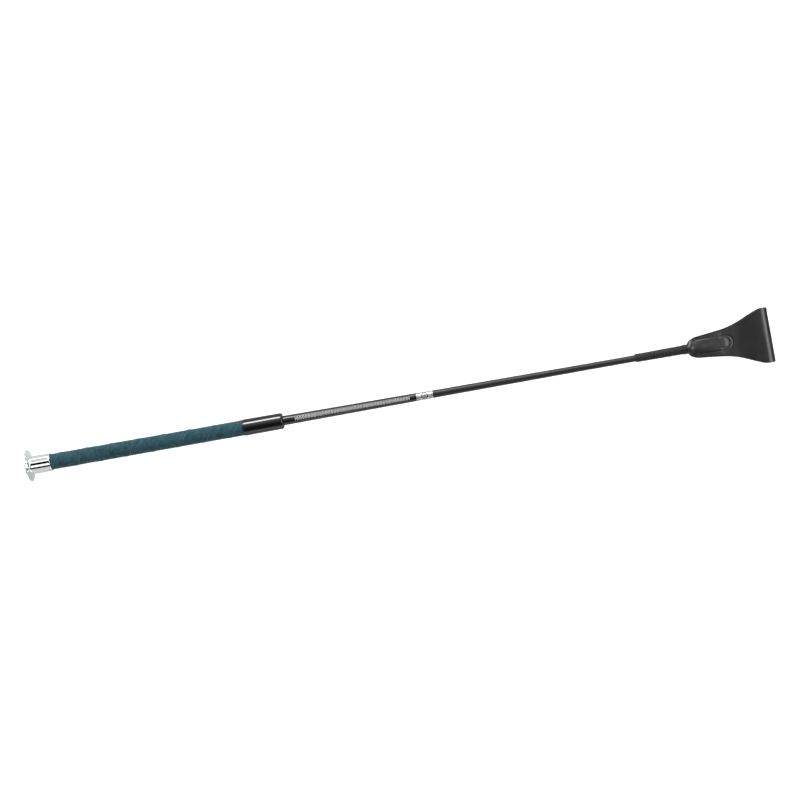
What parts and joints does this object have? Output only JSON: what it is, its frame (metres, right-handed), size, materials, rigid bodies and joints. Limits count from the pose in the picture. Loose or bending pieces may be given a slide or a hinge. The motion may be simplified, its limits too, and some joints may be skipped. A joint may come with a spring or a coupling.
{
  "type": "riding crop",
  "caption": "Short jumping crop with a flanged chrome butt cap, a spiral-wound suede grip, a slim black shaft and a wide folded leather tongue that flexes.",
  "frame": {"origin": "centre of the cap's flat end face, on the axis of the shaft", "axes": "+X along the shaft from the cap to the tongue, +Z square to the flat of the tongue"},
  "size_m": [0.65, 0.05, 0.0276],
  "materials": {
    "chrome": "bright chrome plate, mirror polished",
    "moulding": "as moulded, hidden inside",
    "suede": "teal suede, napped, with darker creases and pale raw edges",
    "gloss_black": "high gloss black",
    "carbon": "ground carbon fibre composite, hidden inside",
    "foil": "silver foil with a plain printed ornament",
    "satin_black": "satin black sleeve",
    "waxed_thread": "black waxed thread, slight sheen",
    "sewing_thread": "black sewing thread",
    "stiffener_hide": "undyed sole leather, hidden inside",
    "black_leather": "smooth black bridle leather, low sheen, dyed edges"
  },
  "bodies": {
    "stick": {"butt_cap": "chrome", "cap_plug": "moulding", "handle_core": "moulding", "grip_wrap": "suede", "collar": "gloss_black", "carbon_rod": "carbon", "gloss_sleeve": "gloss_black", "foil_band": "foil", "satin_sleeve": "satin_black", "tip_guard": "moulding", "whipping": "waxed_thread", "whipping_lock": "waxed_thread", "stiffener": "stiffener_hide", "root_ply_top": "black_leather", "root_ply_bottom": "black_leather", "tongue_stitching": "sewing_thread"},
    "tongue": {"tongue_fold": "black_leather"}
  },
  "joints": [
    {"name": "tongue_flex", "type": "hinge", "parent": "stick", "child": "tongue", "pos_m": [0.624, 0, 0], "axis": [0, 1, 0], "range_deg": [-60, 60], "stiffness_Nm_per_rad": 0.1}
  ]
}
